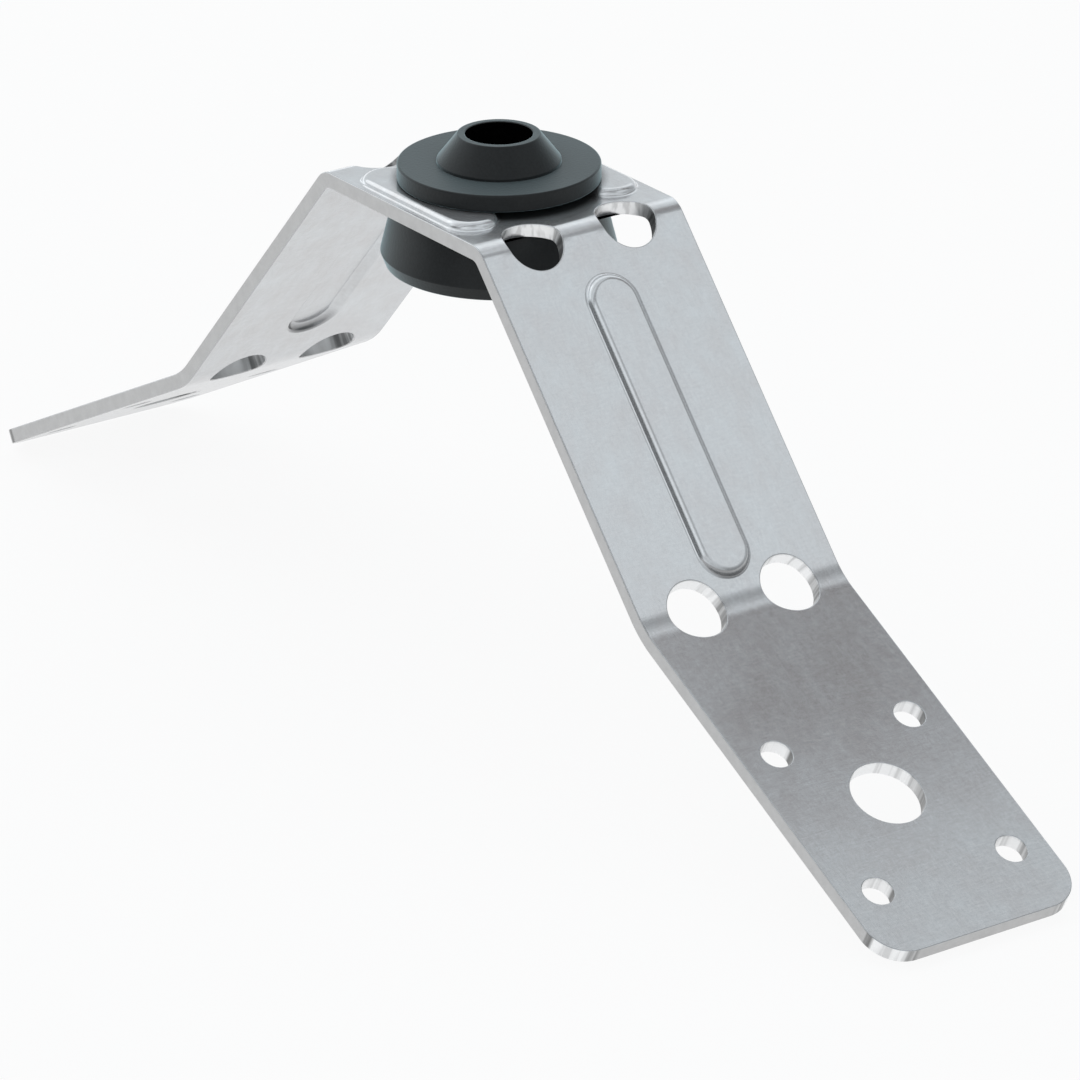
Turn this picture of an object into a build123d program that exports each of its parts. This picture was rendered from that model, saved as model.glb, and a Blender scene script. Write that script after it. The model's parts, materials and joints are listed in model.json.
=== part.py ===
from build123d import *
import os

# Ventilation pipe clamp: a bent steel strip with a rubber isolator in the hole of its plate.
# +Z is up, +X runs along the strip and Y across it. The origin lies on the axis of the rod bore,
# on the upper face of the plate. All sizes are millimetres.

# The strip, seen from the side. Lengths lie on its upper face, from one bend line to the next.
sheet = 2.0
strip_width = 30.0
plate_length = 34.4
leg_length = 51.7
foot_length = 54.1
leg_slope = 48.0  # degrees below the horizontal
foot_slope = 27.0
knee_radius = 3.0  # bend from plate to leg, on the upper face
ankle_radius = 9.0  # bend from leg to foot, on the upper face
toe_radius = 5.0  # corners at the end of the foot
edge_break = 0.15  # on the outline and the round holes in flat sheet

# Holes punched right through the strip
plate_hole = 12.6
bend_hole = 7.8
bend_hole_spread = 14.0  # across the strip, between the two holes on one bend
knee_hole_shift = 0.4  # from the bend line down the leg, square to the punch
ankle_hole_shift = 0.6  # from the bend line up the leg
foot_bolt_hole = 9.4
foot_bolt_from_ankle = 32.1
foot_screw_hole = 4.0
foot_screw_from_ankle = 22.3  # the first row
foot_screw_pitch = 22.4  # from the first row to the second
foot_screw_spread = 20.0

# Obround beads pressed up out of the sheet: one along each leg, and one along each edge of the plate
bead_width = 6.9
bead_height = 0.9
bead_draft = 35.0  # of the bead's wall, in degrees from upright
bead_round = 0.5  # at the shoulder of the wall
leg_bead_from_knee = 7.3
leg_bead_from_ankle = 3.55
plate_bead_length = 24.1
plate_bead_from_edge = 4.5  # from the strip's edge to the bead's middle line
groove_inset = 4.4  # the groove under a bead ends this much short of it

# Rubber isolator, turned about the bore
rod_bore = 8.4  # passes an M8 threaded rod
nose_diameter = 10.4
nose_foot_diameter = 15.6
nose_height = 3.7
flange_diameter = 25.5
flange_thickness = 2.2
neck_clearance = 0.1  # from the neck to the plate hole, on the radius
skirt_top_diameter = 26.6
skirt_bottom_diameter = 29.8
skirt_height = 6.4
heel_diameter = 28.5
heel_height = 1.7
rubber_edge = 0.25

# Bend lines on the upper face of the +X half, the planes that lie on its faces, and the planes
# square to the two punches, which go halfway between the faces that meet at each bend
knee = Vector(plate_length / 2, 0, 0)
down_leg = Vector(1, 0, 0).rotate(Axis.Y, leg_slope)
down_foot = Vector(1, 0, 0).rotate(Axis.Y, foot_slope)
ankle = knee + down_leg * leg_length
toe = ankle + down_foot * foot_length

leg_face = Plane(knee, x_dir=down_leg, z_dir=Vector(0, 0, 1).rotate(Axis.Y, leg_slope))
foot_face = Plane(ankle, x_dir=down_foot, z_dir=Vector(0, 0, 1).rotate(Axis.Y, foot_slope))
knee_slope = leg_slope / 2
knee_punch = Plane(knee, x_dir=Vector(1, 0, 0).rotate(Axis.Y, knee_slope),
                   z_dir=Vector(0, 0, 1).rotate(Axis.Y, knee_slope))
ankle_slope = (leg_slope + foot_slope) / 2
ankle_punch = Plane(ankle, x_dir=Vector(1, 0, 0).rotate(Axis.Y, ankle_slope),
                    z_dir=Vector(0, 0, 1).rotate(Axis.Y, ankle_slope))

leg_bead_length = leg_length - leg_bead_from_knee - leg_bead_from_ankle
leg_bead_middle = leg_bead_from_knee + leg_bead_length / 2
plate_bead_offset = strip_width / 2 - plate_bead_from_edge

flange_top = bead_height + flange_thickness
neck_radius = plate_hole / 2 - neck_clearance
isolator_bottom = -sheet - skirt_height - heel_height

# One half of the strip with its holes and bead, mirrored, then the hole and beads of the plate
with BuildPart() as bracket:
    with BuildSketch(Plane.XZ):
        with BuildLine():
            upper = FilletPolyline((0, 0), (knee.X, knee.Z), (ankle.X, ankle.Z), (toe.X, toe.Z),
                                   radius=(knee_radius, ankle_radius))
            offset(upper, amount=sheet, side=Side.RIGHT)
        make_face()
    extrude(amount=strip_width / 2, both=True)
    fillet(bracket.edges().filter_by(Axis(toe, foot_face.z_dir)), toe_radius)
    toe_end = bracket.faces().sort_by(Axis(toe, down_foot))[-1]
    chamfer(toe_end.edges().filter_by(Axis.Y), edge_break)

    for punch, shift in ((knee_punch, knee_hole_shift), (ankle_punch, -ankle_hole_shift)):
        with BuildSketch(punch):
            with Locations((shift, bend_hole_spread / 2), (shift, -bend_hole_spread / 2)):
                Circle(bend_hole / 2)
        extrude(amount=bend_hole, both=True, mode=Mode.SUBTRACT)

    with BuildSketch(foot_face):
        with Locations((foot_bolt_from_ankle, 0)):
            Circle(foot_bolt_hole / 2)
        with Locations((foot_screw_from_ankle + foot_screw_pitch / 2, 0)):
            with GridLocations(foot_screw_pitch, foot_screw_spread, 2, 2):
                Circle(foot_screw_hole / 2)
    extrude(amount=-2 * sheet, mode=Mode.SUBTRACT)
    chamfer(bracket.edges(Select.NEW).filter_by(GeomType.CIRCLE), edge_break)

    with BuildSketch(leg_face):
        with Locations((leg_bead_middle, 0)):
            SlotOverall(leg_bead_length, bead_width)
    extrude(amount=bead_height, taper=bead_draft)
    shoulders = bracket.edges(Select.LAST).group_by(Axis(knee, leg_face.z_dir))[-1]
    fillet(shoulders, bead_round)
    with BuildSketch(leg_face.offset(-sheet)):
        with Locations((leg_bead_middle, 0)):
            SlotOverall(leg_bead_length - 2 * groove_inset, bead_width)
    extrude(amount=bead_height, taper=bead_draft, mode=Mode.SUBTRACT)

    mirror(about=Plane.YZ)

    with BuildSketch():
        Circle(plate_hole / 2)
    extrude(amount=-2 * sheet, mode=Mode.SUBTRACT)
    chamfer(bracket.edges(Select.NEW).filter_by(GeomType.CIRCLE), edge_break)
    with BuildSketch():
        with Locations((0, plate_bead_offset), (0, -plate_bead_offset)):
            SlotOverall(plate_bead_length, bead_width)
    extrude(amount=bead_height, taper=bead_draft)
    shoulders = bracket.edges(Select.LAST).group_by(Axis.Z)[-1]
    fillet(shoulders, bead_round)
    with BuildSketch(Plane.XY.offset(-sheet)):
        with Locations((0, plate_bead_offset), (0, -plate_bead_offset)):
            SlotOverall(plate_bead_length - 2 * groove_inset, bead_width)
    extrude(amount=bead_height, taper=bead_draft, mode=Mode.SUBTRACT)

# Half section of the isolator: nose and flange above the plate, neck through it, skirt and heel below
with BuildPart() as isolator:
    with BuildSketch(Plane.XZ):
        with BuildLine():
            Polyline(
                (rod_bore / 2, flange_top + nose_height),
                (nose_diameter / 2, flange_top + nose_height),
                (nose_foot_diameter / 2, flange_top),
                (flange_diameter / 2, flange_top),
                (flange_diameter / 2, bead_height),
                (neck_radius, bead_height),
                (neck_radius, -sheet),
                (skirt_top_diameter / 2, -sheet),
                (skirt_bottom_diameter / 2, -sheet - skirt_height),
                (heel_diameter / 2, isolator_bottom),
                (rod_bore / 2, isolator_bottom),
                close=True,
            )
        section = make_face()
        seated = section.vertices().filter_by_position(Axis.Y, -sheet, bead_height)
        nose_foot = section.vertices().filter_by_position(Axis.Y, flange_top, flange_top)[:1]
        chamfer(section.vertices() - seated - nose_foot, rubber_edge)
    revolve(axis=Axis.Z)

os.makedirs("parts", exist_ok=True)
bracket.part.label = "bracket"
export_step(bracket.part, "parts/bracket.step")
isolator.part.label = "rubber_isolator"
export_step(isolator.part, "parts/rubber_isolator.step")
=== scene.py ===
import json
import math

import bpy
import numpy as np
from mathutils import Matrix, Vector


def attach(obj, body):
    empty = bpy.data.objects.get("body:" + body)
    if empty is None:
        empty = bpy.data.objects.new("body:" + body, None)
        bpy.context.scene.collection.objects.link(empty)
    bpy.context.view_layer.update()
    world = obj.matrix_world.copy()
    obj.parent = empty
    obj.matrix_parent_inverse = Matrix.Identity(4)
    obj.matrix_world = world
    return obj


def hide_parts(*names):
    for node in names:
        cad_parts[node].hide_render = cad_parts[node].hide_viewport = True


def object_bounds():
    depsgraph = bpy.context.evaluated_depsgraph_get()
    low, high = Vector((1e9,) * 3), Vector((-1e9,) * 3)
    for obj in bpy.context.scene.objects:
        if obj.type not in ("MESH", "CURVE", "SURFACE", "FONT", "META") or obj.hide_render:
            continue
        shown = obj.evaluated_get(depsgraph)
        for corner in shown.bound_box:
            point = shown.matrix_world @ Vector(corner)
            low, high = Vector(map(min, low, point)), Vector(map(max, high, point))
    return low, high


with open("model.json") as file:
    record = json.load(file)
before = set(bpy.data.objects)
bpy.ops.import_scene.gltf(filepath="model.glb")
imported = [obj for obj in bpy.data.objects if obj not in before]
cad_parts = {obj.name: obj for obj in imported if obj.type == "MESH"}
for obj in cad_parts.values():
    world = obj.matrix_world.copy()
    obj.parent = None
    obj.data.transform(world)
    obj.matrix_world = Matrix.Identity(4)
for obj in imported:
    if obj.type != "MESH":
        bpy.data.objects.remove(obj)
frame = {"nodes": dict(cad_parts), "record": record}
cadLow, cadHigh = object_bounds()
mounts = {mount["name"]: mount["dims"] for mount in frame["record"]["mounts"]}
scene = bpy.context.scene
mm = 0.001  # shapes are worked out in millimetres, meshes and nodes are in metres
touching = 1e-5  # millimetres: places closer than this are one
print("frame loaded with the nodes", sorted(frame["nodes"]))

# The bent steel strip. Lengths lie on its upper face, between the corners that its bends round off.
strip = {
    "thickness": 2.0,
    "width": 30.0,
    "plateLength": 34.4,
    "legLength": 51.7,
    "footLength": 54.1,
    "legSlope": 48.0,  # degrees below level
    "footSlope": 27.0,
    "kneeRadius": 3.5,  # of the upper face, from plate to leg
    "ankleRadius": 12.0,  # of the upper face, from leg to foot
    "toeRadius": 5.0,
    "rimRound": 0.17,  # every cut edge is rounded by this much
    "shineToward": 157.0,  # degrees from down the strip, where the painted highlight on a punched wall is brightest
    "shineFocus": 3.2,
    "rimSteps": 4,
    "toeSteps": 18,
    "flatCell": 0.8,  # longest side of a grid cell on flat sheet
    "bendCell": 0.22,
    "holeRings": 4,  # bands of flat sheet between a hole and its frame
    "bendHoleRings": 12,
    "plateHole": 12.6,
    "bendHole": 7.8,
    "bendHoleSpread": 14.0,
    "kneeHoleShift": 0.4,  # down the leg
    "ankleHoleShift": -0.6,  # up the leg
    "footBoltFromAnkle": 32.1,
    "screwRowsFromAnkle": (22.3, 44.7),
    "screwSpread": mounts["right_foot_upper_screws"]["pcd_mm"],
}

# The pressed beads. A wall is a tight arc at its foot, a straight slope and a wide arc at its shoulder.
bead = {
    "baseWidth": 7.95,
    "height": 0.9,
    "wallSlope": 62.0,  # degrees, where the wall is steepest
    "footRound": 0.45,
    "shoulderRound": 1.0,
    "footSteps": 6,
    "shoulderSteps": 9,
    "legFromKnee": 6.85,
    "legFromAnkle": 3.2,
    "plateLength": 25.2,
    "plateFromEdge": 4.5,  # to the bead's middle line
    "grooveShorter": 4.55,  # at each end, than the bead above it
    "topRings": (0.66, 0.33, 0.0),  # shares of the flat top's half width
    "frameRings": 3,
}

# The frames that stand round holes and beads in the strip's grid: how much room each leaves
frames = {
    "edge": 0.4,  # between a plate bead's frame and the strip's edge
    "plateSplit": 6.7,  # across, between the plate's hole and its beads
    "beadEnd": 0.5,
    "beadHalf": 4.6,
    "cutStart": 1.65,  # past the lower centre of a leg bead, where the slanting sides begin
    "cutEnd": 4.28,
    "cutAcross": 2.2,
    "slantParts": 8,
    "holeNear": 1.6,  # across, both sides of a bend hole
    "holeFar": 12.4,
    "kneeDown": 5.2,  # along, from the middle of the bend
    "ankleDown": 5.2,
    "screwRoom": 1.6,
    "boltRoom": 0.8,
}


def stripStretches():
    # The upper face of one half, seen from the side: straight and round stretches laid end to end.
    # A round stretch takes radius times the tangent of half its turn from each straight beside it.
    legSlope, footSlope = math.radians(strip["legSlope"]), math.radians(strip["footSlope"])
    kneeTurn, ankleTurn = legSlope, legSlope - footSlope
    kneeTaken = strip["kneeRadius"] * math.tan(kneeTurn / 2)
    ankleTaken = strip["ankleRadius"] * math.tan(ankleTurn / 2)
    lengths = (strip["plateLength"] / 2 - kneeTaken, strip["kneeRadius"] * kneeTurn,
               strip["legLength"] - kneeTaken - ankleTaken, strip["ankleRadius"] * ankleTurn,
               strip["footLength"] - ankleTaken)
    curves = (0.0, 1 / strip["kneeRadius"], 0.0, -1 / strip["ankleRadius"], 0.0)
    starts = np.concatenate([[0.0], np.cumsum(lengths)])
    slopes = np.concatenate([[0.0], np.cumsum(np.multiply(lengths, curves))])
    return starts, slopes, curves, kneeTaken, ankleTaken


starts, slopes, curves, kneeTaken, ankleTaken = stripStretches()
halfLength = starts[-1]
halfWidth = strip["width"] / 2
legZero = starts[2] - kneeTaken  # where lengths on the leg and on the foot are counted from
footZero = starts[4] - ankleTaken
toeStart = halfLength - strip["toeRadius"]


def walkStrip(s):
    # x, z and slope of the upper face at a distance s from the middle, negative to the left.
    # A straight adds its cosine and sine. A round stretch adds the difference of two sines or
    # cosines over its curvature, because its slope grows evenly.
    distance = np.abs(s)
    x, z, slope = np.zeros_like(distance), np.zeros_like(distance), np.zeros_like(distance)
    for start, end, first, curve in zip(starts[:-1], starts[1:], slopes[:-1], curves):
        reach = np.clip(distance - start, 0, end - start)
        last = first + curve * reach
        if curve == 0:
            x += reach * math.cos(first)
            z -= reach * math.sin(first)
        else:
            x += (np.sin(last) - math.sin(first)) / curve
            z += (np.cos(last) - math.cos(first)) / curve
        slope += curve * reach
    side = np.where(s < 0, -1.0, 1.0)
    return side * x, z, side * slope


def placeOnStrip(s, y, height):
    # Points at a height above the upper face: the face's own point plus height times its normal.
    x, z, slope = walkStrip(s)
    return np.stack([x + height * np.sin(slope), y, z + height * np.cos(slope)], axis=-1)


def turnToStrip(s, normal):
    # A direction given as along the strip, across it and up from it, turned with the strip.
    slope = walkStrip(s)[2]
    along, across, up = normal[..., 0], normal[..., 1], normal[..., 2]
    return np.stack([along * np.cos(slope) + up * np.sin(slope), across,
                     up * np.cos(slope) - along * np.sin(slope)], axis=-1)


class Sheet:
    # Collects patches of a surface: grids of points with a normal each, and joins them.

    def __init__(self):
        self.points, self.normals, self.places, self.faces = [], [], [], []
        self.cuts, self.shines, self.creases = [], [], []
        self.count = 0

    def addGrid(self, points, normals, places, cut, shine=0.0, crease=0.0, closed=False, hidden=None):
        # points is rows by columns by 3. Each cell between four neighbours becomes two triangles.
        rows, columns = points.shape[:2]
        index = np.arange(rows * columns).reshape(rows, columns) + self.count
        if closed:
            index = np.concatenate([index, index[:, :1]], axis=1)
        corner = np.stack([index[:-1, :-1], index[1:, :-1], index[1:, 1:], index[:-1, 1:]], axis=-1)
        if hidden is not None:
            corner = corner[~hidden]
        corner = corner.reshape(-1, 4)
        self.faces += [corner[:, [0, 1, 2]], corner[:, [0, 2, 3]]]
        self.points.append(points.reshape(-1, 3))
        self.normals.append(normals.reshape(-1, 3))
        self.places.append(np.broadcast_to(places, points.shape).reshape(-1, 3))
        self.cuts.append(np.broadcast_to(cut, points.shape[:2]).reshape(-1))
        self.shines.append(np.broadcast_to(shine, points.shape[:2]).reshape(-1))
        self.creases.append(np.broadcast_to(crease, points.shape[:2]).reshape(-1))
        self.count += rows * columns

    def build(self, name):
        # Points that fall together are made one, triangles that lost a side go, and a triangle whose
        # corners run against its normals is turned round.
        points, normals = np.concatenate(self.points), np.concatenate(self.normals)
        places, faces = np.concatenate(self.places), np.concatenate(self.faces)
        finishes = {"cut": np.concatenate(self.cuts), "shine": np.concatenate(self.shines),
                    "crease": np.concatenate(self.creases)}
        first, inverse = np.unique(np.round(points, 4), axis=0, return_index=True, return_inverse=True)[1:]
        points, normals, places = points[first], normals[first], places[first]
        faces = inverse.reshape(-1)[faces]
        whole = (faces[:, 0] != faces[:, 1]) & (faces[:, 1] != faces[:, 2]) & (faces[:, 2] != faces[:, 0])
        faces = faces[whole]
        a, b, c = points[faces[:, 0]], points[faces[:, 1]], points[faces[:, 2]]
        against = np.einsum("ij,ij->i", np.cross(b - a, c - a), normals[faces].sum(axis=1)) < 0
        faces[against] = faces[against][:, ::-1]
        mesh = bpy.data.meshes.new(name)
        mesh.from_pydata((points * mm).tolist(), [], faces.tolist())
        mesh.shade_smooth()
        place = mesh.attributes.new("place", "FLOAT_VECTOR", "POINT")
        place.data.foreach_set("vector", (places * mm).astype(np.float32).ravel())
        for key, values in finishes.items():
            finish = mesh.attributes.new(key, "FLOAT", "POINT")
            finish.data.foreach_set("value", values[first].astype(np.float32))
        lengths = np.linalg.norm(normals, axis=1, keepdims=True)
        mesh.normals_split_custom_set_from_vertices((normals / lengths).tolist())
        piece = bpy.data.objects.new(name, mesh)
        scene.collection.objects.link(piece)
        print(name, "has", len(points), "points and", len(faces), "triangles")
        return piece


def spaced(start, end, cell):
    # Even steps from start up to end, none longer than cell. The end itself is left to the next run.
    count = max(1, math.ceil((end - start) / cell - touching))
    return np.linspace(start, end, count + 1)[:-1]


def rimProfile(thickness, rimRound):
    # The section of a cut edge, from the upper face round to the lower one: how far each ring lies
    # back from the cut, its height, and how its normal leans. Quarter circles join the faces to the wall.
    turn = np.linspace(0, math.pi / 2, strip["rimSteps"] + 1)
    back = rimRound * (1 - np.sin(turn))
    down = -rimRound * (1 - np.cos(turn))
    back = np.concatenate([back, back[::-1]])
    height = np.concatenate([down, -thickness - down[::-1]])
    lean = np.concatenate([turn, math.pi - turn[::-1]])
    return back, height, np.sin(lean), np.cos(lean)


rimBack, rimHeight, rimOut, rimUp = rimProfile(strip["thickness"], strip["rimRound"])


def beadWall():
    # The section of a bead's wall, walked inwards from its foot: distance in from the foot, rise,
    # slope, and how deep in the crease it lies. An arc turns up to the wall's slope, a straight
    # follows, and an arc turns back.
    slope = math.radians(bead["wallSlope"])
    turn = np.linspace(0, slope, bead["footSteps"] + 1)
    run, rise = bead["footRound"] * np.sin(turn), bead["footRound"] * (1 - np.cos(turn))
    back = np.linspace(slope, 0, bead["shoulderSteps"] + 1)
    runBack, riseBack = bead["shoulderRound"] * np.sin(back), bead["shoulderRound"] * (1 - np.cos(back))
    straight = bead["height"] - rise[-1] - riseBack[0]
    totalRun = run[-1] + straight / math.tan(slope) + runBack[0]
    crease = np.concatenate([np.sqrt(turn / slope), back / slope])
    return (np.concatenate([run, totalRun - runBack]), np.concatenate([rise, bead["height"] - riseBack]),
            np.concatenate([turn, back]), crease)


wallRun, wallRise, wallSlope, wallCrease = beadWall()


def boxCorners(low, high, near, far):
    return [(low, near), (high, near), (high, far), (low, far)]


def windowsOfStrip():
    # Every hole and bead is a window in the grid: the corners of the frame it sits in, and the point
    # or middle line it is drawn round, all in distances along and across the strip.
    kneeMiddle, ankleMiddle = (starts[1] + starts[2]) / 2, (starts[3] + starts[4]) / 2
    inset = bead["baseWidth"] / 2
    plateReach = bead["plateLength"] / 2 - inset
    plateAcross = halfWidth - bead["plateFromEdge"]
    legBead = (legZero + bead["legFromKnee"] + inset,
               legZero + strip["legLength"] - bead["legFromAnkle"] - inset)
    screw, bolt = mounts["right_foot_upper_screws"]["hole_r_mm"], mounts["right_foot_bolt"]["r_mm"]
    edge, split, ends = frames["edge"], frames["plateSplit"], plateReach + inset + frames["beadEnd"]
    found = [{"kind": "hole", "at": (0.0, 0.0), "radius": strip["plateHole"] / 2,
              "corners": boxCorners(-ends, ends, -split, split)}]
    for across in (-1, 1):
        found.append({"kind": "bead", "line": (-plateReach, plateReach), "across": across * plateAcross,
                      "corners": boxCorners(-ends, ends, across * split, across * (halfWidth - edge))})
    # The lower end of a leg's bead reaches between the two holes on the ankle, so the frames of all
    # three meet there along two slanting sides, from cutStart to cutEnd.
    cutStart, cutEnd = legBead[1] + frames["cutStart"], legBead[1] + frames["cutEnd"]
    wide, narrow = frames["beadHalf"], frames["cutAcross"]
    beadTop = legBead[0] - inset - frames["beadEnd"]
    holeNear, holeFar = frames["holeNear"], frames["holeFar"]
    for side in (-1, 1):
        corners = [(beadTop, -wide), (cutStart, -wide), (cutEnd, -narrow), (cutEnd, narrow),
                   (cutStart, wide), (beadTop, wide)]
        found.append({"kind": "bead", "line": tuple(sorted((side * legBead[0], side * legBead[1]))),
                      "across": 0.0, "corners": [(side * s, y) for s, y in corners]})
        for across in (-1, 1):
            kneeFrame = boxCorners(ends, kneeMiddle + frames["kneeDown"], across * holeNear, across * holeFar)
            ankleEnd = ankleMiddle + frames["ankleDown"]
            ankleFrame = [(cutEnd, across * narrow), (ankleEnd, across * narrow),
                          (ankleEnd, across * holeFar), (cutStart, across * holeFar),
                          (cutStart, across * wide)]
            for bend, corners in (("knee", kneeFrame), ("ankle", ankleFrame)):
                found.append({"kind": "bendHole", "bend": bend, "side": side,
                              "across": across * strip["bendHoleSpread"] / 2, "radius": strip["bendHole"] / 2,
                              "corners": [(side * s, y) for s, y in corners]})
        spots = [(footZero + row, across * strip["screwSpread"] / 2, screw, frames["screwRoom"])
                 for row in strip["screwRowsFromAnkle"] for across in (-1, 1)]
        spots.append((footZero + strip["footBoltFromAnkle"], 0.0, bolt, frames["boltRoom"]))
        for s, y, radius, room in spots:
            half = radius + room
            found.append({"kind": "hole", "at": (side * s, y), "radius": radius,
                          "corners": boxCorners(side * s - half, side * s + half, y - half, y + half)})
    return found


def gridLines(marks, bends):
    # Sorted marks filled in with even steps, finer where a bend lies.
    marks = np.unique(np.round(marks, 6))
    lines = []
    for start, end in zip(marks[:-1], marks[1:]):
        middle = abs((start + end) / 2)
        fine = any(low < middle < high for low, high in bends)
        lines.append(spaced(start, end, strip["bendCell"] if fine else strip["flatCell"]))
    return np.concatenate(lines + [marks[-1:]])


def frameBorder(sLines, yLines, corners):
    # Points round a frame, walked once. A side that follows the grid takes the grid's own points,
    # and a slanting one is cut in even parts, always from the same end.
    s, y = [], []
    for (s0, y0), (s1, y1) in zip(corners, corners[1:] + corners[:1]):
        alongS, alongY = abs(y0 - y1) < touching, abs(s0 - s1) < touching
        if alongS or alongY:
            lines, low, high = (sLines, s0, s1) if alongS else (yLines, y0, y1)
            run = lines[(lines > min(low, high) - touching) & (lines < max(low, high) + touching)]
            run = run if high > low else run[::-1]
            s.append((run if alongS else np.full_like(run, s0))[:-1])
            y.append((np.full_like(run, y0) if alongS else run)[:-1])
        else:
            share = np.linspace(0, 1, frames["slantParts"] + 1)[:-1]
            s.append(s0 + (s1 - s0) * share)
            y.append(y0 + (y1 - y0) * share)
    return np.concatenate(s), np.concatenate(y)


upperFace = (0.0, 1.0)  # height, and which way its normal points
lowerFace = (-strip["thickness"], -1.0)


def addFace(sheet, face, s, y, closed=False, hidden=None):
    # A stretch of the upper or the lower face, with the face's own normal
    height, way = face
    up = np.zeros(s.shape + (3,))
    up[..., 2] = way
    sheet.addGrid(placeOnStrip(s, y, height), turnToStrip(s, up),
                  np.stack([s, y, height + 0 * s], axis=-1), 0.0, closed=closed, hidden=hidden)


def addFlatRings(sheet, face, border, contour, count):
    # A band between a frame's border and a contour inside it: straight lines from one to the other,
    # cut in even parts.
    share = np.linspace(0, 1, count + 1)[:, None]
    addFace(sheet, face, border[0] * (1 - share) + contour[0] * share,
            border[1] * (1 - share) + contour[1] * share, closed=True)


def paintedWallShine(angle):
    # A painted highlight on one side of a punched wall: half of one plus the cosine of the angle from the
    # brightest place, to the power of shineFocus
    return (0.5 + 0.5 * np.cos(angle - math.radians(strip["shineToward"]))) ** strip["shineFocus"]


def addHole(sheet, window, border):
    # A hole in flat sheet. Each ring of its rim is a circle, wider near both faces.
    s0, y0 = window["at"]
    angle = np.arctan2(border[1] - y0, border[0] - s0)
    radius = (window["radius"] + rimBack)[:, None]
    s, y = s0 + radius * np.cos(angle), y0 + radius * np.sin(angle)
    height = np.broadcast_to(rimHeight[:, None], s.shape)
    normal = np.stack([-rimOut[:, None] * np.cos(angle), -rimOut[:, None] * np.sin(angle),
                       np.broadcast_to(rimUp[:, None], s.shape)], axis=-1)
    outward = angle if s0 >= 0 else math.pi - angle
    sheet.addGrid(placeOnStrip(s, y, height), turnToStrip(s, normal),
                  np.stack([s, y, 0 * s], axis=-1), rimOut[:, None], paintedWallShine(outward), closed=True)
    addFlatRings(sheet, upperFace, border, (s[0], y[0]), strip["holeRings"])
    addFlatRings(sheet, lowerFace, border, (s[-1], y[-1]), strip["holeRings"])


tableReach, tableSteps = 9.0, 720  # of the table below, in millimetres each way from the bend's middle


def addBendHole(sheet, window, border):
    # A round hole punched across a bend, halfway between the faces that meet there. A ring at some
    # height is the circle of the punch: its reach along the strip is looked up in a table of how far
    # the bent face has come, measured square to the punch.
    side, radius = window["side"], window["radius"] + rimBack
    legSlope, footSlope = math.radians(strip["legSlope"]), math.radians(strip["footSlope"])
    corner = np.array([strip["plateLength"] / 2, 0.0])
    tilt, shift, middle = legSlope / 2, strip["kneeHoleShift"], (starts[1] + starts[2]) / 2
    if window["bend"] == "ankle":
        corner = corner + strip["legLength"] * np.array([math.cos(legSlope), -math.sin(legSlope)])
        tilt, shift, middle = (legSlope + footSlope) / 2, strip["ankleHoleShift"], (starts[3] + starts[4]) / 2
    square = np.array([side * math.cos(tilt), -math.sin(tilt)])
    table = side * (middle + np.linspace(-tableReach, tableReach, tableSteps + 1))
    if side < 0:
        table = table[::-1]

    def come(s, height):
        point = placeOnStrip(s, 0 * s, height)
        return (point[..., 0] - side * corner[0]) * square[0] + (point[..., 2] - corner[1]) * square[1]

    def reach(target, height):
        tableCome = side * come(table, height)
        return np.interp(side * target, tableCome, table)

    centre = reach(np.array([shift]), 0.0)[0]
    angle = np.arctan2(border[1] - window["across"], side * (border[0] - centre))
    s = np.stack([reach(shift + r * np.cos(angle), h) for r, h in zip(radius, rimHeight)])
    y = window["across"] + radius[:, None] * np.sin(angle)
    height = np.broadcast_to(rimHeight[:, None], s.shape)
    slope = walkStrip(s)[2]
    inward = np.stack([-np.cos(angle) * square[0] + 0 * s, -np.sin(angle) + 0 * s,
                       -np.cos(angle) * square[1] + 0 * s], axis=-1)
    up = np.stack([np.sin(slope), 0 * s, np.cos(slope)], axis=-1)
    normal = rimOut[:, None, None] * inward + rimUp[:, None, None] * up
    sheet.addGrid(placeOnStrip(s, y, height), normal,
                  np.stack([s, y, 0 * s], axis=-1), rimOut[:, None], paintedWallShine(angle), closed=True)
    addFlatRings(sheet, upperFace, border, (s[0], y[0]), strip["bendHoleRings"])
    addFlatRings(sheet, lowerFace, border, (s[-1], y[-1]), strip["bendHoleRings"])


def addBead(sheet, window, border):
    # A bead is drawn round a middle line: every ring keeps one distance from it, so it has straight
    # sides and half circles at its ends. The groove under it has the same wall round a shorter line.
    for (height, way), shorter in ((upperFace, 0.0), (lowerFace, bead["grooveShorter"])):
        low, high = window["line"][0] + shorter, window["line"][1] - shorter
        s0, y0 = np.clip(border[0], low, high), window["across"]
        away = np.stack([border[0] - s0, border[1] - y0])
        away = away / np.linalg.norm(away, axis=0)
        foot = bead["baseWidth"] / 2
        inner = (foot - wallRun[-1]) * np.array(bead["topRings"])
        level = np.zeros_like(inner)
        distance = np.concatenate([foot - wallRun, inner])[:, None]
        rise = np.concatenate([wallRise, level + bead["height"]])[:, None]
        slope = np.concatenate([wallSlope, level])[:, None]
        # Painted shade: the crease is darkened only round the lower end of a leg's bead
        lower = np.clip(away[0] * np.sign(window["line"][0] + window["line"][1]), 0, 1)
        crease = np.concatenate([wallCrease, level])[:, None] * lower
        s, y = s0 + distance * away[0], y0 + distance * away[1]
        normal = way * np.stack([np.sin(slope) * away[0], np.sin(slope) * away[1],
                                 np.cos(slope) + 0 * s], axis=-1)
        sheet.addGrid(placeOnStrip(s, y, height + rise + 0 * s), turnToStrip(s, normal),
                      np.stack([s, y, height + 0 * s], axis=-1), 0.0, crease=crease, closed=True)
        addFlatRings(sheet, (height, way), border, (s[0], y[0]), bead["frameRings"])


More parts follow.
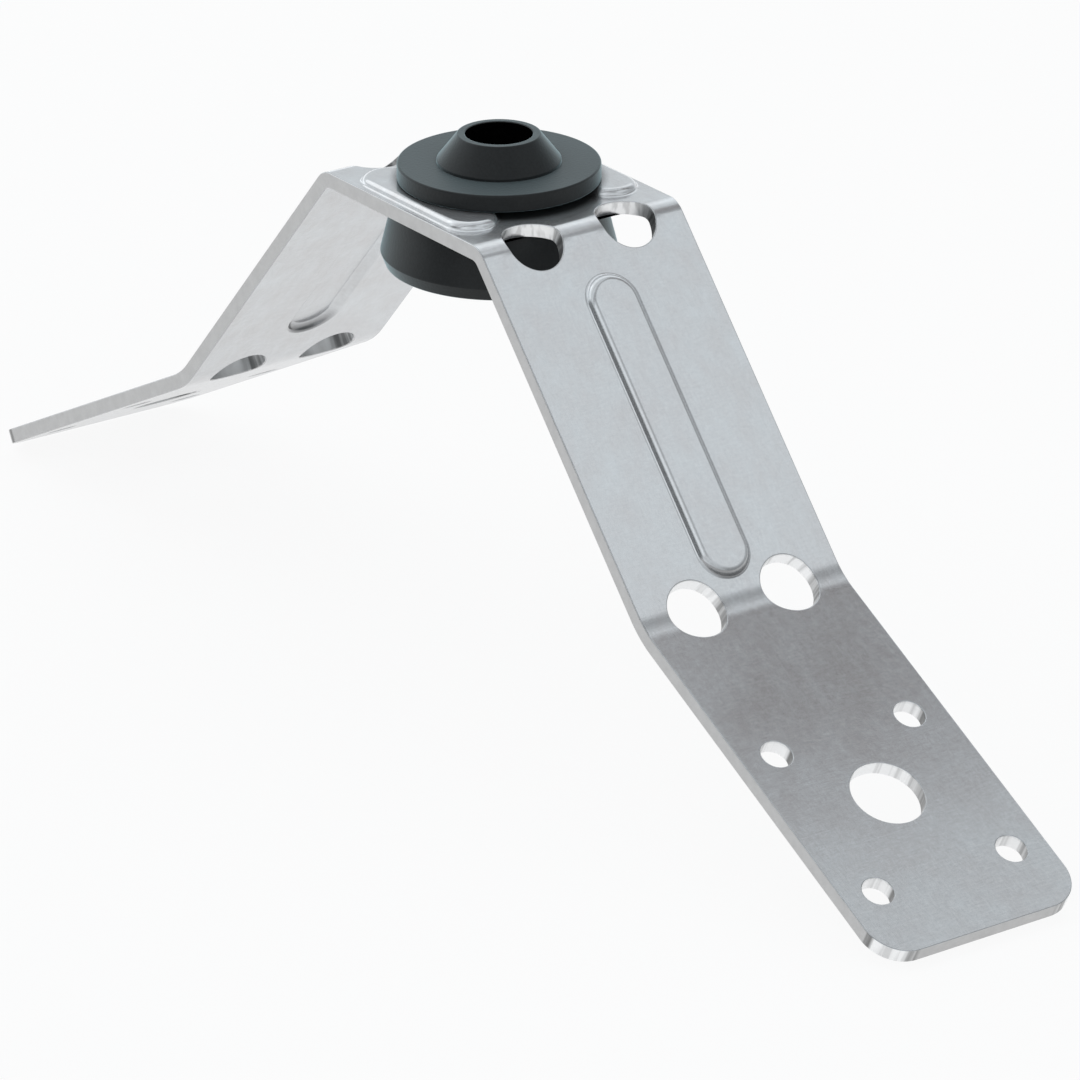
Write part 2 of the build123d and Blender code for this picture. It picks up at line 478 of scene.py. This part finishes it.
def addOutline(sheet, s, y, outS, outY, shine=0.0):
    # The cut edge along a stretch of the outline: the rim's section carried along it.
    back = strip["rimRound"] - rimBack[:, None]
    ringS, ringY = s + back * outS, y + back * outY
    height = np.broadcast_to(rimHeight[:, None], ringS.shape)
    level = np.ones_like(ringS)
    normal = np.stack([rimOut[:, None] * outS * level, rimOut[:, None] * outY * level,
                       rimUp[:, None] * level], axis=-1)
    sheet.addGrid(placeOnStrip(ringS, ringY, height), turnToStrip(ringS, normal),
                  np.stack([ringS, ringY, height], axis=-1), rimOut[:, None], shine)


def addToe(sheet, side, yLines):
    # The end of a foot: a rectangle between two quarter discs, each a fan of circles round the
    # centre of its corner.
    radius, rim = strip["toeRadius"], strip["rimRound"]
    cornerAcross = halfWidth - radius
    rings = yLines[yLines > cornerAcross - touching] - cornerAcross
    middle = yLines[np.abs(yLines) < cornerAcross + touching]
    turn = np.linspace(0, math.pi / 2, strip["toeSteps"] + 1)
    for face in (upperFace, lowerFace):
        addFace(sheet, face, *np.meshgrid(side * (toeStart + rings), middle, indexing="ij"))
        for across in (-1, 1):
            addFace(sheet, face, side * (toeStart + rings[:, None] * np.cos(turn)),
                    across * (cornerAcross + rings[:, None] * np.sin(turn)))
    addOutline(sheet, np.full_like(middle, side * (halfLength - rim)), middle, side, 0.0)
    # The toe's rounded corners get a painted highlight through their shine, strongest halfway round each
    # corner
    for across in (-1, 1):
        addOutline(sheet, side * (toeStart + (radius - rim) * np.cos(turn)),
                   across * (cornerAcross + (radius - rim) * np.sin(turn)),
                   side * np.cos(turn), across * np.sin(turn), np.sin(2 * turn) ** 2)


def makeBracket():
    # The strip is drawn flat, as a grid of distances along and across it, and bent by placeOnStrip.
    # Cells under a window are left out, and the window's own rings fill them.
    sheet = Sheet()
    windows = windowsOfStrip()
    inset = halfWidth - strip["rimRound"]
    sMarks = [side * mark for mark in (*starts[1:-1], toeStart) for side in (-1, 1)] + [0.0]
    sMarks += [s for window in windows for s, y in window["corners"]]
    yMarks = [-inset, inset, strip["toeRadius"] - halfWidth, halfWidth - strip["toeRadius"]]
    yMarks += [y for window in windows for s, y in window["corners"]]
    bends = ((starts[1], starts[2]), (starts[3], starts[4]))
    sLines, yLines = gridLines(sMarks, bends), gridLines(yMarks, ())
    sMiddle, yMiddle = (sLines[:-1] + sLines[1:]) / 2, (yLines[:-1] + yLines[1:]) / 2
    hidden = np.zeros((len(sMiddle), len(yMiddle)), bool)
    for window in windows:
        (low, near), (high, far) = np.min(window["corners"], axis=0), np.max(window["corners"], axis=0)
        hidden |= ((sMiddle > low) & (sMiddle < high))[:, None] & ((yMiddle > near) & (yMiddle < far))
    for face in (upperFace, lowerFace):
        addFace(sheet, face, *np.meshgrid(sLines, yLines, indexing="ij"), hidden=hidden)
    for window in windows:
        border = frameBorder(sLines, yLines, window["corners"])
        {"hole": addHole, "bendHole": addBendHole, "bead": addBead}[window["kind"]](sheet, window, border)
    for across in (-1, 1):
        addOutline(sheet, sLines, np.full_like(sLines, across * inset), 0.0, across)
    for side in (-1, 1):
        addToe(sheet, side, yLines)
    piece = sheet.build("bracket_sheet")
    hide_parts("bracket")
    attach(piece, "root")
    return piece


# The rubber isolator, as the half section that is turned about the bore
isolator = {
    "boreRadius": mounts["rod_bore"]["r_mm"],
    "noseRadius": 5.2,
    "noseFootRadius": 7.8,
    "noseLip": 0.35,  # upright, at the foot of the nose
    "noseHeight": 3.7,
    "flangeRadius": 12.75,
    "flangeThickness": 2.2,
    "neckRadius": 6.2,
    "skirtTopRadius": 13.3,
    "skirtRadius": 14.9,
    "skirtHeight": 6.4,
    "heelRadius": 14.25,
    "heelHeight": 1.7,
    "edgeRound": 0.25,
    "mouthRound": 0.22,  # at the top of the bore
    "lipRound": 0.2,
    "noseFootRound": 0.04,
    "neckRound": 0.1,
    "heelRound": 0.35,
    "arcSteps": 5,
    "steps": 192,  # round the bore
    "boreMargin": 0.05,  # points this close to the bore's wall take its painted shade
}


def isolatorSection():
    # Corners of the section, from the top of the bore outwards and down: radius, height, rounding.
    size = isolator
    edge, neck = size["edgeRound"], size["neckRound"]
    flange = bead["height"] + size["flangeThickness"]
    nose = flange + size["noseHeight"]
    skirt = -strip["thickness"] - size["skirtHeight"]
    heel = skirt - size["heelHeight"]
    return [
        (size["boreRadius"], nose, size["mouthRound"]),
        (size["noseRadius"], nose, edge),
        (size["noseFootRadius"], flange + size["noseLip"], size["lipRound"]),
        (size["noseFootRadius"], flange, size["noseFootRound"]),
        (size["flangeRadius"], flange, edge),
        (size["flangeRadius"], bead["height"], edge),
        (size["neckRadius"], bead["height"], neck),
        (size["neckRadius"], -strip["thickness"], neck),
        (size["skirtTopRadius"], -strip["thickness"], edge),
        (size["skirtRadius"], skirt, edge),
        (size["heelRadius"], heel, size["heelRound"]),
        (size["boreRadius"], heel, edge),
    ]


def roundSection(corners, steps):
    # Each corner becomes an arc that touches both of its sides: it starts radius times the tangent
    # of half the turn before the corner, and its normal turns evenly from one side's to the other's.
    points = np.array([corner[:2] for corner in corners])
    radii = np.array([corner[2] for corner in corners])
    before = points - np.roll(points, 1, axis=0)
    after = np.roll(points, -1, axis=0) - points
    headingIn = np.arctan2(before[:, 1], before[:, 0])
    headingOut = np.arctan2(after[:, 1], after[:, 0])
    turn = (headingOut - headingIn + math.pi) % (2 * math.pi) - math.pi
    taken = radii * np.tan(np.abs(turn) / 2)
    start = points - taken[:, None] * np.stack([np.cos(headingIn), np.sin(headingIn)], axis=1)
    hand = np.sign(turn)
    toCentre = headingIn + hand * math.pi / 2
    centre = start + radii[:, None] * np.stack([np.cos(toCentre), np.sin(toCentre)], axis=1)
    share = np.linspace(0, 1, steps + 1)
    heading = headingIn[:, None] + turn[:, None] * share
    fromCentre = heading - (hand * math.pi / 2)[:, None]
    spokes = np.stack([np.cos(fromCentre), np.sin(fromCentre)], axis=-1)
    arcs = centre[:, None] + radii[:, None, None] * spokes
    outward = heading + math.pi / 2  # the section runs clockwise, so outwards is to its left
    normals = np.stack([np.cos(outward), np.sin(outward)], axis=-1)
    return arcs.reshape(-1, 2), normals.reshape(-1, 2)


def makeIsolator():
    # The rounded half section turned about the bore: each point of it goes round in a circle.
    section, normal = roundSection(isolatorSection(), isolator["arcSteps"])
    section = np.concatenate([section, section[:1]])
    normal = np.concatenate([normal, normal[:1]])
    angle = np.arange(isolator["steps"]) * 2 * math.pi / isolator["steps"]
    cos, sin = np.cos(angle), np.sin(angle)
    points = np.stack([np.outer(section[:, 0], cos), np.outer(section[:, 0], sin),
                       np.outer(section[:, 1], np.ones_like(angle))], axis=-1)
    normals = np.stack([np.outer(normal[:, 0], cos), np.outer(normal[:, 0], sin),
                        np.outer(normal[:, 1], np.ones_like(angle))], axis=-1)
    inBore = np.outer(section[:, 0] < isolator["boreRadius"] + isolator["boreMargin"], np.ones_like(angle))
    sheet = Sheet()
    sheet.addGrid(points, normals, points, inBore, closed=True)
    piece = sheet.build("isolator_rubber")
    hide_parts("rubber_isolator")
    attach(piece, "root")
    return piece


bracket = makeBracket()
rubber = makeIsolator()


def newMaterial(name):
    material = bpy.data.materials.new(name)
    material.use_nodes = True
    tree = material.node_tree
    tree.nodes.clear()
    output = addNode(tree, "ShaderNodeOutputMaterial")
    shader = addNode(tree, "ShaderNodeBsdfPrincipled")
    tree.links.new(shader.outputs["BSDF"], output.inputs["Surface"])
    return material, tree, shader


def addNode(tree, kind, inputs=None, **settings):
    # A node with its settings, and with a value or a link for each of the inputs that are named
    node = tree.nodes.new(kind)
    for name, value in settings.items():
        setattr(node, name, value)
    for name, value in (inputs or {}).items():
        if isinstance(value, bpy.types.NodeSocket):
            tree.links.new(value, node.inputs[name])
        else:
            node.inputs[name].default_value = value
    return node


def addAttribute(tree, name, output):
    return addNode(tree, "ShaderNodeAttribute", attribute_name=name).outputs[output]


def addMath(tree, operation, first, second):
    return addNode(tree, "ShaderNodeMath", {0: first, 1: second}, operation=operation).outputs[0]


def addVector(tree, operation, first, second, output):
    node = addNode(tree, "ShaderNodeVectorMath", {0: first, 1: second}, operation=operation)
    return node.outputs[output]


def addRange(tree, value, low, high, toLow, toHigh, soft=False):
    # Carries the range from low to high over to the range from toLow to toHigh
    limits = {"Value": value, "From Min": low, "From Max": high, "To Min": toLow, "To Max": toHigh}
    kind = "SMOOTHSTEP" if soft else "LINEAR"
    return addNode(tree, "ShaderNodeMapRange", limits, interpolation_type=kind).outputs["Result"]


def addMix(tree, share, first, second, blend="MIX"):
    # The node has several sockets of each name, so they go by number
    mix = addNode(tree, "ShaderNodeMix", {0: share, 6: first, 7: second}, data_type="RGBA", blend_type=blend)
    return mix.outputs[2]


def addNoise(tree, place, size, detail=3.0, stretch=(1, 1, 1), rough=0.55):
    # Noise whose patches are about size millimetres across, longer along an axis with a stretch over 1
    scale = [1 / (size * mm * part) for part in stretch]
    place = addNode(tree, "ShaderNodeMapping", {"Vector": place, "Scale": scale}).outputs["Vector"]
    inputs = {"Vector": place, "Scale": 1.0, "Detail": detail, "Roughness": rough}
    return addNode(tree, "ShaderNodeTexNoise", inputs).outputs["Fac"]


def addBump(tree, shader, height, strength, depth):
    # The depth is in millimetres
    bump = addNode(tree, "ShaderNodeBump", {"Height": height, "Strength": strength, "Distance": depth * mm})
    tree.links.new(bump.outputs["Normal"], shader.inputs["Normal"])


noiseSpread = (0.35, 0.65)  # where nearly all of a noise pattern's values lie

# Sizes are in millimetres. A stretch says how many times longer than wide a pattern is.
zinc = {
    "metallic": 0.8,
    "coolColour": (0.665, 0.685, 0.701, 1),
    "warmColour": (0.632, 0.629, 0.636, 1),
    "roughness": (0.19, 0.215),  # in the warm clouds and in the cool ones
    "cloudSize": 9.0,
    "cloudSpread": (0.36, 0.64),
    "cloudShare": 0.7,
    "mottleSize": 2.2,
    "mottleSpread": (0.38, 0.62),
    "mottleShare": 0.3,
    "cloudTone": (0.98, 1.02),
    "fibreSize": 0.3,
    "fibreStretch": 4.0,
    "fibreTone": (0.035, 0.07),  # on the plate and legs, and on the feet
    "fibreGrowth": (60.0, 74.0),  # from the middle of the strip, where the stronger fibres fade in
    "brushSize": 0.2,
    "brushStretch": 18.0,
    "brushGrowth": (72.0, 108.0),  # from the middle of the strip, where the brushing fades in
    "brushLeast": 0.25,  # of its full strength, before that
    "brushPatch": 7.0,
    "brushPatchSpread": (0.35, 0.6),
    "brushPatchLeast": 0.2,
    "brushTone": 0.025,
    "brushRoughness": 0.01,
    "brushHeight": 0.2,  # of the fibres' height
    "bumpStrength": 0.05,
    "bumpDepth": 0.03,
    "creaseShadeTone": 0.25,  # painted shade: what is left of the colour where a crease is deepest
    "contactTone": 0.15,  # and close round the rubber, in place of part of the shadow there
    "contact": (12.2, 14.0),  # from the bore's axis, where that begins to fade and has gone
    "rimShadeTone": 0.62,  # and in a thin line of painted shade where a face turns into a cut edge
    "rimStart": (0.1, 0.45),  # values of "cut" between which the line fades in
    "rimEnd": (0.45, 0.8),
    "wallStart": (0.55, 0.95),  # and between which the finish of the wall does
}

# The finish of cut edges and of punched walls
cutEdge = {
    "colour": (0.53, 0.53, 0.53, 1),
    "roughness": 0.38,
    "markSize": 1.2,
    "markSpread": (0.3, 0.7),
    "markTone": (0.94, 1.06),
    # A punched wall is pale cut metal, painted towards punchedColour as a highlight where its shine is high,
    # and towards punchedDark as painted shade where shine and streaks are low
    "punchedColour": (0.975, 0.98, 0.985, 1),
    "punchedDark": (0.22, 0.22, 0.22, 1),
    "punchedStart": 0.05,  # of the shine, from where a wall counts as punched
    "shineSpread": (0.1, 0.7),
    "shineShare": (0.1, 1.05),
    "streakSize": 1.1,
    "streakStretch": 20.0,  # through the sheet
    "streakShare": (-0.4, 0.35),
}


def addClouds(tree, place):
    # Large clouds and a finer mottle, from 0 where the zinc is warm to 1 where it is cool
    clouds = addNoise(tree, place, zinc["cloudSize"], 6.0, rough=0.7)
    mottle = addNoise(tree, place, zinc["mottleSize"], 5.0, rough=0.7)
    return addMath(tree, "ADD", addRange(tree, clouds, *zinc["cloudSpread"], 0, zinc["cloudShare"]),
                   addRange(tree, mottle, *zinc["mottleSpread"], 0, zinc["mottleShare"]))


def addGrain(tree, place):
    # The mean of short fibres along the strip and short fibres across it
    stretches = (zinc["fibreStretch"], 1, 1), (1, zinc["fibreStretch"], 1)
    fibres = [addNoise(tree, place, zinc["fibreSize"], 2.0, stretch=stretch) for stretch in stretches]
    return addMath(tree, "MULTIPLY", addMath(tree, "ADD", *fibres), 0.5)


def addBrushing(tree, place, away):
    # Lines across the strip, from -1 to 1, which come and go in patches and grow towards the toes
    lines = addNoise(tree, place, zinc["brushSize"], 1.0, stretch=(1, zinc["brushStretch"], 1))
    start, end = zinc["brushGrowth"]
    growth = addRange(tree, away, start * mm, end * mm, zinc["brushLeast"], 1, soft=True)
    patches = addRange(tree, addNoise(tree, place, zinc["brushPatch"], 2.0), *zinc["brushPatchSpread"],
                       zinc["brushPatchLeast"], 1)
    return addMath(tree, "MULTIPLY", addRange(tree, lines, *noiseSpread, -1, 1),
                   addMath(tree, "MULTIPLY", growth, patches))


def addFaceColour(tree, place, away, cut, clouds, grain, lines):
    # Warm or cool by the clouds, times one plus the fibres and lines, times a tone from the clouds and
    # times the painted shade in the lower end of a leg bead's crease, close round the rubber and along every
    # cut edge
    start, end = zinc["fibreGrowth"]
    contrast = addRange(tree, away, start * mm, end * mm, *zinc["fibreTone"])
    fibre = addMath(tree, "MULTIPLY", addRange(tree, grain, *noiseSpread, -1, 1), contrast)
    tone = addMath(tree, "ADD", addMath(tree, "ADD", fibre, 1.0),
                   addMath(tree, "MULTIPLY", lines, zinc["brushTone"]))
    onPlate = addVector(tree, "MULTIPLY", place, (1, 1, 0), "Vector")
    fromAxis = addVector(tree, "LENGTH", onPlate, (0, 0, 0), "Value")
    start, end = zinc["contact"]
    rim = addMath(tree, "MULTIPLY", addRange(tree, cut, *zinc["rimStart"], 0, 1),
                  addRange(tree, cut, *zinc["rimEnd"], 1, 0))
    for part in (addRange(tree, clouds, 0, 1, *zinc["cloudTone"]),
                 addRange(tree, addAttribute(tree, "crease", "Fac"), 0, 1, 1, zinc["creaseShadeTone"]),
                 addRange(tree, fromAxis, start * mm, end * mm, zinc["contactTone"], 1, soft=True),
                 addRange(tree, rim, 0, 1, 1, zinc["rimShadeTone"])):
        tone = addMath(tree, "MULTIPLY", tone, part)
    return addMix(tree, 1.0, addMix(tree, clouds, zinc["warmColour"], zinc["coolColour"]), tone, "MULTIPLY")


def addWallColour(tree, place):
    # Dull marks on a cut edge. A punched wall has streaks through the sheet, and a painted highlight
    # where its shine is high.
    shine = addAttribute(tree, "shine", "Fac")
    streaks = addNoise(tree, place, cutEdge["streakSize"], 2.0, stretch=(1, 1, cutEdge["streakStretch"]))
    paintedShine = addRange(tree, shine, *cutEdge["shineSpread"], *cutEdge["shineShare"], soft=True)
    bright = addMath(tree, "ADD", paintedShine, addRange(tree, streaks, *noiseSpread, *cutEdge["streakShare"]))
    punched = addMix(tree, bright, cutEdge["punchedDark"], cutEdge["punchedColour"])
    marks = addRange(tree, addNoise(tree, place, cutEdge["markSize"], 5.0, rough=0.65),
                     *cutEdge["markSpread"], *cutEdge["markTone"])
    plain = addMix(tree, 1.0, cutEdge["colour"], marks, "MULTIPLY")
    return addMix(tree, addRange(tree, shine, 0, cutEdge["punchedStart"], 0, 1), plain, punched)


def finishBracket(piece):
    # Zinc on the faces, where the attribute "cut" is 0, and cut metal on the walls, where it is 1
    material, tree, shader = newMaterial("zinc plated sheet")
    place, cut = addAttribute(tree, "place", "Vector"), addAttribute(tree, "cut", "Fac")
    along = addNode(tree, "ShaderNodeSeparateXYZ", {"Vector": place}).outputs["X"]
    away = addMath(tree, "ABSOLUTE", along, 0.0)
    clouds, grain, lines = addClouds(tree, place), addGrain(tree, place), addBrushing(tree, place, away)
    walled = addRange(tree, cut, *zinc["wallStart"], 0, 1, soft=True)
    face = addFaceColour(tree, place, away, cut, clouds, grain, lines)
    tree.links.new(addMix(tree, walled, face, addWallColour(tree, place)), shader.inputs["Base Color"])
    rough = addMath(tree, "ADD", addRange(tree, clouds, 0, 1, *zinc["roughness"]),
                    addMath(tree, "MULTIPLY", lines, zinc["brushRoughness"]))
    rough = addMath(tree, "ADD", addMath(tree, "MULTIPLY", rough, addMath(tree, "SUBTRACT", 1.0, walled)),
                    addMath(tree, "MULTIPLY", walled, cutEdge["roughness"]))
    tree.links.new(rough, shader.inputs["Roughness"])
    height = addMath(tree, "ADD", grain, addMath(tree, "MULTIPLY", lines, zinc["brushHeight"]))
    addBump(tree, shader, height, zinc["bumpStrength"], zinc["bumpDepth"])
    shader.inputs["Metallic"].default_value = zinc["metallic"]
    piece.data.materials.append(material)


rubberFinish = {
    "colour": (0.0060, 0.0072, 0.0077, 1),
    "paleColour": (0.0090, 0.0106, 0.0113, 1),
    "roughness": 0.45,
    "grainSize": 0.35,
    "bumpStrength": 0.35,
    "bumpDepth": 0.05,
    "specular": 0.3,
    "sheen": 0.9,
    "sheenRoughness": 0.33,
    "sheenTint": (0.72, 0.95, 1.0, 1),
}


def finishRubber(piece):
    # Dark rubber with the fine grain of its mould, and a cool bloom where it is seen at a low angle
    material, tree, shader = newMaterial("matt moulded rubber")
    place = addNode(tree, "ShaderNodeTexCoord").outputs["Object"]
    grain = addNoise(tree, place, rubberFinish["grainSize"])
    colour = addMix(tree, addRange(tree, grain, *noiseSpread, 0, 1), rubberFinish["colour"],
                    rubberFinish["paleColour"])
    tree.links.new(colour, shader.inputs["Base Color"])
    addBump(tree, shader, grain, rubberFinish["bumpStrength"], rubberFinish["bumpDepth"])
    for name, key in (("Roughness", "roughness"), ("Specular IOR Level", "specular"),
                      ("Sheen Weight", "sheen"), ("Sheen Roughness", "sheenRoughness"),
                      ("Sheen Tint", "sheenTint")):
        shader.inputs[name].default_value = rubberFinish[key]
    piece.data.materials.append(material)


# The rubber inside the bore, painted near black and without gloss as the shade in it
boreShade = {
    "colour": (0.0006, 0.0006, 0.0006, 1),
    "paleColour": (0.0018, 0.0018, 0.0018, 1),
    "roughness": 1.0,
    "specular": 0.0,
    "grainSize": 0.35,
}


def paintBoreShade(piece):
    # Painted shade in the bore: near-black grain without gloss on the faces whose three corners all lie in
    # the bore
    material, tree, shader = newMaterial("rubber of the bore in painted shade")
    place = addNode(tree, "ShaderNodeTexCoord").outputs["Object"]
    grain = addRange(tree, addNoise(tree, place, boreShade["grainSize"]), *noiseSpread, 0, 1)
    colour = addMix(tree, grain, boreShade["colour"], boreShade["paleColour"])
    tree.links.new(colour, shader.inputs["Base Color"])
    shader.inputs["Roughness"].default_value = boreShade["roughness"]
    shader.inputs["Specular IOR Level"].default_value = boreShade["specular"]
    mesh = piece.data
    mesh.materials.append(material)
    inBore, corners = np.empty(len(mesh.vertices)), np.empty(len(mesh.loops), int)
    mesh.attributes["cut"].data.foreach_get("value", inBore)
    mesh.loops.foreach_get("vertex_index", corners)
    slots = inBore[corners].reshape(-1, 3).min(axis=1) > 0.5
    mesh.polygons.foreach_set("material_index", slots.astype(np.int32))


finishBracket(bracket)
finishRubber(rubber)
paintBoreShade(rubber)
print("materials set")

# The studio: a pale floor and pale cool surroundings, with dark and bright screens overhead
studio = {
    "floorSize": 12.0,  # metres
    "floorBelow": 0.2,  # millimetres under the toes
    "floorColour": (0.86, 0.86, 0.86, 1),
    "floorRoughness": 0.9,
    "floorSeen": 0.9,  # share of plain white in the floor that the camera sees
    "floorMirrored": 0.9,  # and in the one that metal reflects
    "front": (0.82, -0.57, 0.0),  # the way in which the mirrored floor grows dark
    "frontStart": 0.08,  # metres from the origin, where that begins
    "frontEnd": 0.2,
    "frontTone": 0.6,
    "airColour": (0.955, 1.0, 1.03, 1),
    # Brightness of the screens, against the angle round the Y axis from straight up towards +X, in degrees
    "screens": ((-90, 0.77), (-52, 0.81), (-42, 1.24), (-28, 1.24), (-18, 0.88), (-10, 0.82), (-5, 0.62),
                (0, 0.74), (5, 1.02), (8, 0.84), (12, 0.60), (16, 0.42), (20, 0.31), (24, 0.34), (28, 0.86),
                (30.5, 1.14), (33, 1.0), (36, 0.86), (90, 0.86)),
    "screenFoot": (0.10, 0.22),  # the screens fade out between these heights on a sphere of radius 1
    "horizon": 1.25,
    "lean": (-0.35, -0.25, 0.0),  # towards the side where the horizon is brighter, and by how much
    # Soft round patches: the direction of the middle, the degrees from it at which the patch begins to
    # fade and has gone, and the light in the middle as a share of what it would be without the patch
    "shades": (((0.56, -0.08, 0.82), 5, 18, 0.55), ((0.36, -0.65, 0.67), 5, 18, 1.3),
               ((-0.10, -0.96, 0.25), 12, 26, 0.1), ((0.15, 0.93, 0.33), 15, 32, 0.6),
               ((0.80, 0.54, 0.15), 12, 30, 0.5)),
    "keyFrom": (-0.77, -0.25, 0.58),
    "keyDistance": 0.9,
    "keySize": 0.52,
    "keyPower": 0.45,
}

# A level dark card over the foot, which shows only in reflections
darkCard = {
    "left": 12.0,  # millimetres
    "right": 60.0,
    "near": 99.0,
    "far": 220.0,
    "height": 150.0,
    "colour": (0.20, 0.18, 0.18, 1),
}


def makeLevelSheet(name, left, right, near, far, height):
    mesh = bpy.data.meshes.new(name)
    corners = [(left, near, height), (right, near, height), (right, far, height), (left, far, height)]
    mesh.from_pydata(corners, [], [(0, 1, 2, 3)])
    sheet = bpy.data.objects.new(name, mesh)
    scene.collection.objects.link(sheet)
    return sheet


def makeFloor():
    # Where the camera or metal looks at it, the floor is mostly plain white. The rest is a lit floor,
    # which holds the object's shadow.
    half = studio["floorSize"] / 2
    floor = makeLevelSheet("floor", -half, half, -half, half, cadLow.z - studio["floorBelow"] * mm)
    material, tree, shader = newMaterial("pale floor")
    shader.inputs["Base Color"].default_value = studio["floorColour"]
    shader.inputs["Roughness"].default_value = studio["floorRoughness"]
    path = addNode(tree, "ShaderNodeLightPath").outputs
    seen = addMath(tree, "MULTIPLY", path["Is Camera Ray"], studio["floorSeen"])
    mirrored = addMath(tree, "MAXIMUM", path["Is Glossy Ray"], path["Is Transmission Ray"])
    share = addMath(tree, "MAXIMUM", seen, addMath(tree, "MULTIPLY", mirrored, studio["floorMirrored"]))
    place = addNode(tree, "ShaderNodeTexCoord").outputs["Object"]
    ahead = addVector(tree, "DOT_PRODUCT", place, studio["front"], "Value")
    dim = addRange(tree, ahead, studio["frontStart"], studio["frontEnd"], 1, studio["frontTone"], soft=True)
    strength = addMath(tree, "MAXIMUM", path["Is Camera Ray"], dim)
    glow = addNode(tree, "ShaderNodeEmission", {"Strength": strength}).outputs["Emission"]
    mix = addNode(tree, "ShaderNodeMixShader", {0: share, 1: shader.outputs["BSDF"], 2: glow})
    tree.links.new(mix.outputs["Shader"], tree.nodes["Material Output"].inputs["Surface"])
    floor.data.materials.append(material)


def makeDarkCard():
    keys = ("left", "right", "near", "far", "height")
    card = makeLevelSheet("dark card", *(darkCard[key] * mm for key in keys))
    card.visible_camera = card.visible_diffuse = card.visible_shadow = card.visible_transmission = False
    material, tree, shader = newMaterial("dark card")
    glow = addNode(tree, "ShaderNodeEmission", {"Color": darkCard["colour"]})
    tree.links.new(glow.outputs["Emission"], tree.nodes["Material Output"].inputs["Surface"])
    card.data.materials.append(material)


def makeSurroundings():
    # Pale all round: the screens overhead, in stripes along Y, fade into the horizon's light further
    # down, and each shade multiplies the light in its soft round patch.
    world = bpy.data.worlds.new("studio")
    scene.world = world
    world.use_nodes = True
    tree = world.node_tree
    toward = addNode(tree, "ShaderNodeTexCoord").outputs["Generated"]
    part = addNode(tree, "ShaderNodeSeparateXYZ", {"Vector": toward}).outputs
    turn = addMath(tree, "ARCTAN2", part["X"], part["Z"])
    ramp = addNode(tree, "ShaderNodeValToRGB", {"Fac": addRange(tree, turn, -math.pi / 2, math.pi / 2, 0, 1)})
    screens = studio["screens"]
    while len(ramp.color_ramp.elements) < len(screens):
        ramp.color_ramp.elements.new(1.0)
    brightest = max(tone for angle, tone in screens)
    for stop, (angle, tone) in zip(ramp.color_ramp.elements, screens):
        stop.position = (angle + 90) / 180
        stop.color = (tone / brightest,) * 3 + (1,)
    overhead = addMath(tree, "MULTIPLY", ramp.outputs["Color"], brightest)
    share = addRange(tree, part["Z"], *studio["screenFoot"], 0, 1, soft=True)
    low = addVector(tree, "DOT_PRODUCT", toward, studio["lean"], "Value")
    low = addMath(tree, "ADD", low, studio["horizon"])
    tone = addMath(tree, "ADD", addMath(tree, "MULTIPLY", overhead, share),
                   addMath(tree, "MULTIPLY", low, addMath(tree, "SUBTRACT", 1.0, share)))
    for middle, inner, outer, kept in studio["shades"]:
        near = addVector(tree, "DOT_PRODUCT", toward, Vector(middle).normalized(), "Value")
        inner, outer = math.cos(math.radians(inner)), math.cos(math.radians(outer))
        tone = addMath(tree, "MULTIPLY", tone, addRange(tree, near, outer, inner, 1, kept, soft=True))
    tree.links.new(tone, tree.nodes["Background"].inputs["Strength"])
    tree.nodes["Background"].inputs["Color"].default_value = studio["airColour"]


def makeKey():
    # One soft lamp that looks at the middle of the strip
    data = bpy.data.lights.new("key", "AREA")
    data.shape, data.size, data.energy = "DISK", studio["keySize"], studio["keyPower"]
    lamp = bpy.data.objects.new("key", data)
    toward = Vector(studio["keyFrom"]).normalized()
    lamp.location = toward * studio["keyDistance"]
    lamp.rotation_euler = toward.to_track_quat("Z", "Y").to_euler()
    scene.collection.objects.link(lamp)


makeFloor()
makeDarkCard()
makeSurroundings()
makeKey()
print("studio set")

cameraSetup = {
    "place": (672.74, -467.73, 298.5),  # millimetres
    "azimuth": 54.84,  # degrees, 0 looks along +Y
    "elevation": 22.93,
    "roll": 0.1,
    "lens": 233.09,
    "sensor": 36.0,
    "clip": (0.05, 50.0),  # metres
}


def makeCamera():
    azimuth, elevation = math.radians(cameraSetup["azimuth"]), math.radians(cameraSetup["elevation"])
    look = Vector((-math.sin(azimuth) * math.cos(elevation), math.cos(azimuth) * math.cos(elevation),
                   -math.sin(elevation)))
    right = look.cross(Vector((0, 0, 1))).normalized()
    upward = right.cross(look)
    turn = Matrix((right, upward, -look)).transposed().to_4x4()
    roll = Matrix.Rotation(-math.radians(cameraSetup["roll"]), 4, "Z")
    data = bpy.data.cameras.new("camera")
    data.lens, data.sensor_width = cameraSetup["lens"], cameraSetup["sensor"]
    data.clip_start, data.clip_end = cameraSetup["clip"]
    camera = bpy.data.objects.new("camera", data)
    scene.collection.objects.link(camera)
    camera.matrix_world = Matrix.Translation(Vector(cameraSetup["place"]) * mm) @ turn @ roll
    scene.camera = camera


makeCamera()
scene.view_settings.view_transform = "Standard"
